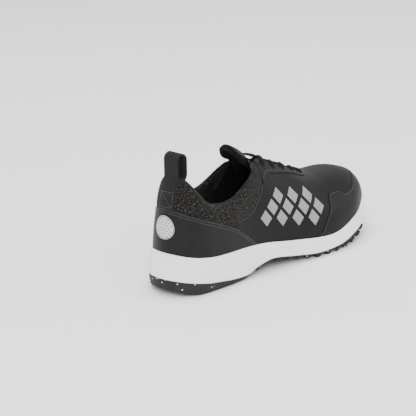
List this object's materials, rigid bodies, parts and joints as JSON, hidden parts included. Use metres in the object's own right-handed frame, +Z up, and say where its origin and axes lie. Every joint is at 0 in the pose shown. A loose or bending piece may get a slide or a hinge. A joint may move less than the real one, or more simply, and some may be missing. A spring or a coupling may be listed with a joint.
{
  "type": "golf shoe",
  "caption": "Low-cut right golf shoe with a lugged rubber outsole, foam midsole, padded collar, laced throat and heel pull tab; forefoot, tongue top and pull tab bend.",
  "frame": {"origin": "on the ground, under the middle of the shoe's bounding box", "axes": "+X towards the toe, +Y towards the big-toe side, +Z up"},
  "size_m": [0.299, 0.1092, 0.135],
  "materials": {
    "leather": "fine-grained synthetic leather, satin",
    "smooth_leather": "smooth coated synthetic leather, satin",
    "mesh": "padded knit mesh",
    "textile": "brushed textile",
    "foam": "open-cell foam",
    "board": "stitched fibre board",
    "plastic": "moulded thermoplastic",
    "eva": "moulded white foam rubber, matt",
    "rubber": "black rubber with pale flecks",
    "webbing": "woven webbing",
    "lace": "flat woven lace",
    "grey_film": "grey printed film with a fine zigzag",
    "white_film": "white moulded film"
  },
  "bodies": {
    "rearfoot": {"collar_foam": "foam", "collar_lining": "textile", "collar_mesh_lateral": "mesh", "collar_mesh_medial": "mesh", "collar_topline": "mesh", "eyestay_lateral": "leather", "eyestay_medial": "leather", "heel_badge": "white_film", "heel_cap": "smooth_leather", "heel_counter": "plastic", "lace": "lace", "lining_crease": "textile", "lining_rear": "textile", "midsole_crease": "eva", "midsole_rear": "eva", "outsole_rear": "rubber", "pull_tab_inner_end": "webbing", "pull_tab_inner_stub": "webbing", "pull_tab_outer_end": "webbing", "pull_tab_outer_stub": "webbing", "quarter_lateral": "leather", "quarter_medial": "leather", "shank_plate": "plastic", "side_graphic_lateral": "grey_film", "side_graphic_medial": "grey_film", "sockliner_crease": "textile", "sockliner_rear": "textile", "strobel_board_crease": "board", "strobel_board_rear": "board", "toe_guard_wing_lateral": "smooth_leather", "toe_guard_wing_medial": "smooth_leather", "tongue_face_lower": "leather", "tongue_pad_lower": "foam", "vamp_crease": "leather"},
    "forefoot": {"lining_fore": "textile", "midsole_fore": "eva", "outsole_fore": "rubber", "sockliner_fore": "textile", "strobel_board_fore": "board", "toe_guard": "smooth_leather", "toe_puff": "plastic", "vamp": "leather"},
    "tongue_top": {"tongue_face_top": "leather", "tongue_pad_top": "foam"},
    "pull_tab": {"pull_tab_loop": "webbing"}
  },
  "joints": [
    {"name": "forefoot_flex", "type": "hinge", "parent": "rearfoot", "child": "forefoot", "pos_m": [0.06781, 0, 0.005], "axis": [0, -1, 0], "range_deg": [0, 20], "stiffness_Nm_per_rad": 10, "deforming": ["midsole_crease", "vamp_crease", "lining_crease", "strobel_board_crease", "sockliner_crease"]},
    {"name": "tongue_fold", "type": "hinge", "parent": "rearfoot", "child": "tongue_top", "pos_m": [-0.02819, 0.00043, 0.11157], "axis": [0, 1, 0], "range_deg": [-8, 35], "stiffness_Nm_per_rad": 0.02},
    {"name": "pull_tab_swing", "type": "hinge", "parent": "rearfoot", "child": "pull_tab", "pos_m": [-0.12435, -0.00157, 0.1175], "axis": [0, 1, 0], "range_deg": [-35, 35], "stiffness_Nm_per_rad": 0.004, "deforming": ["pull_tab_outer_stub", "pull_tab_inner_stub"]}
  ]
}
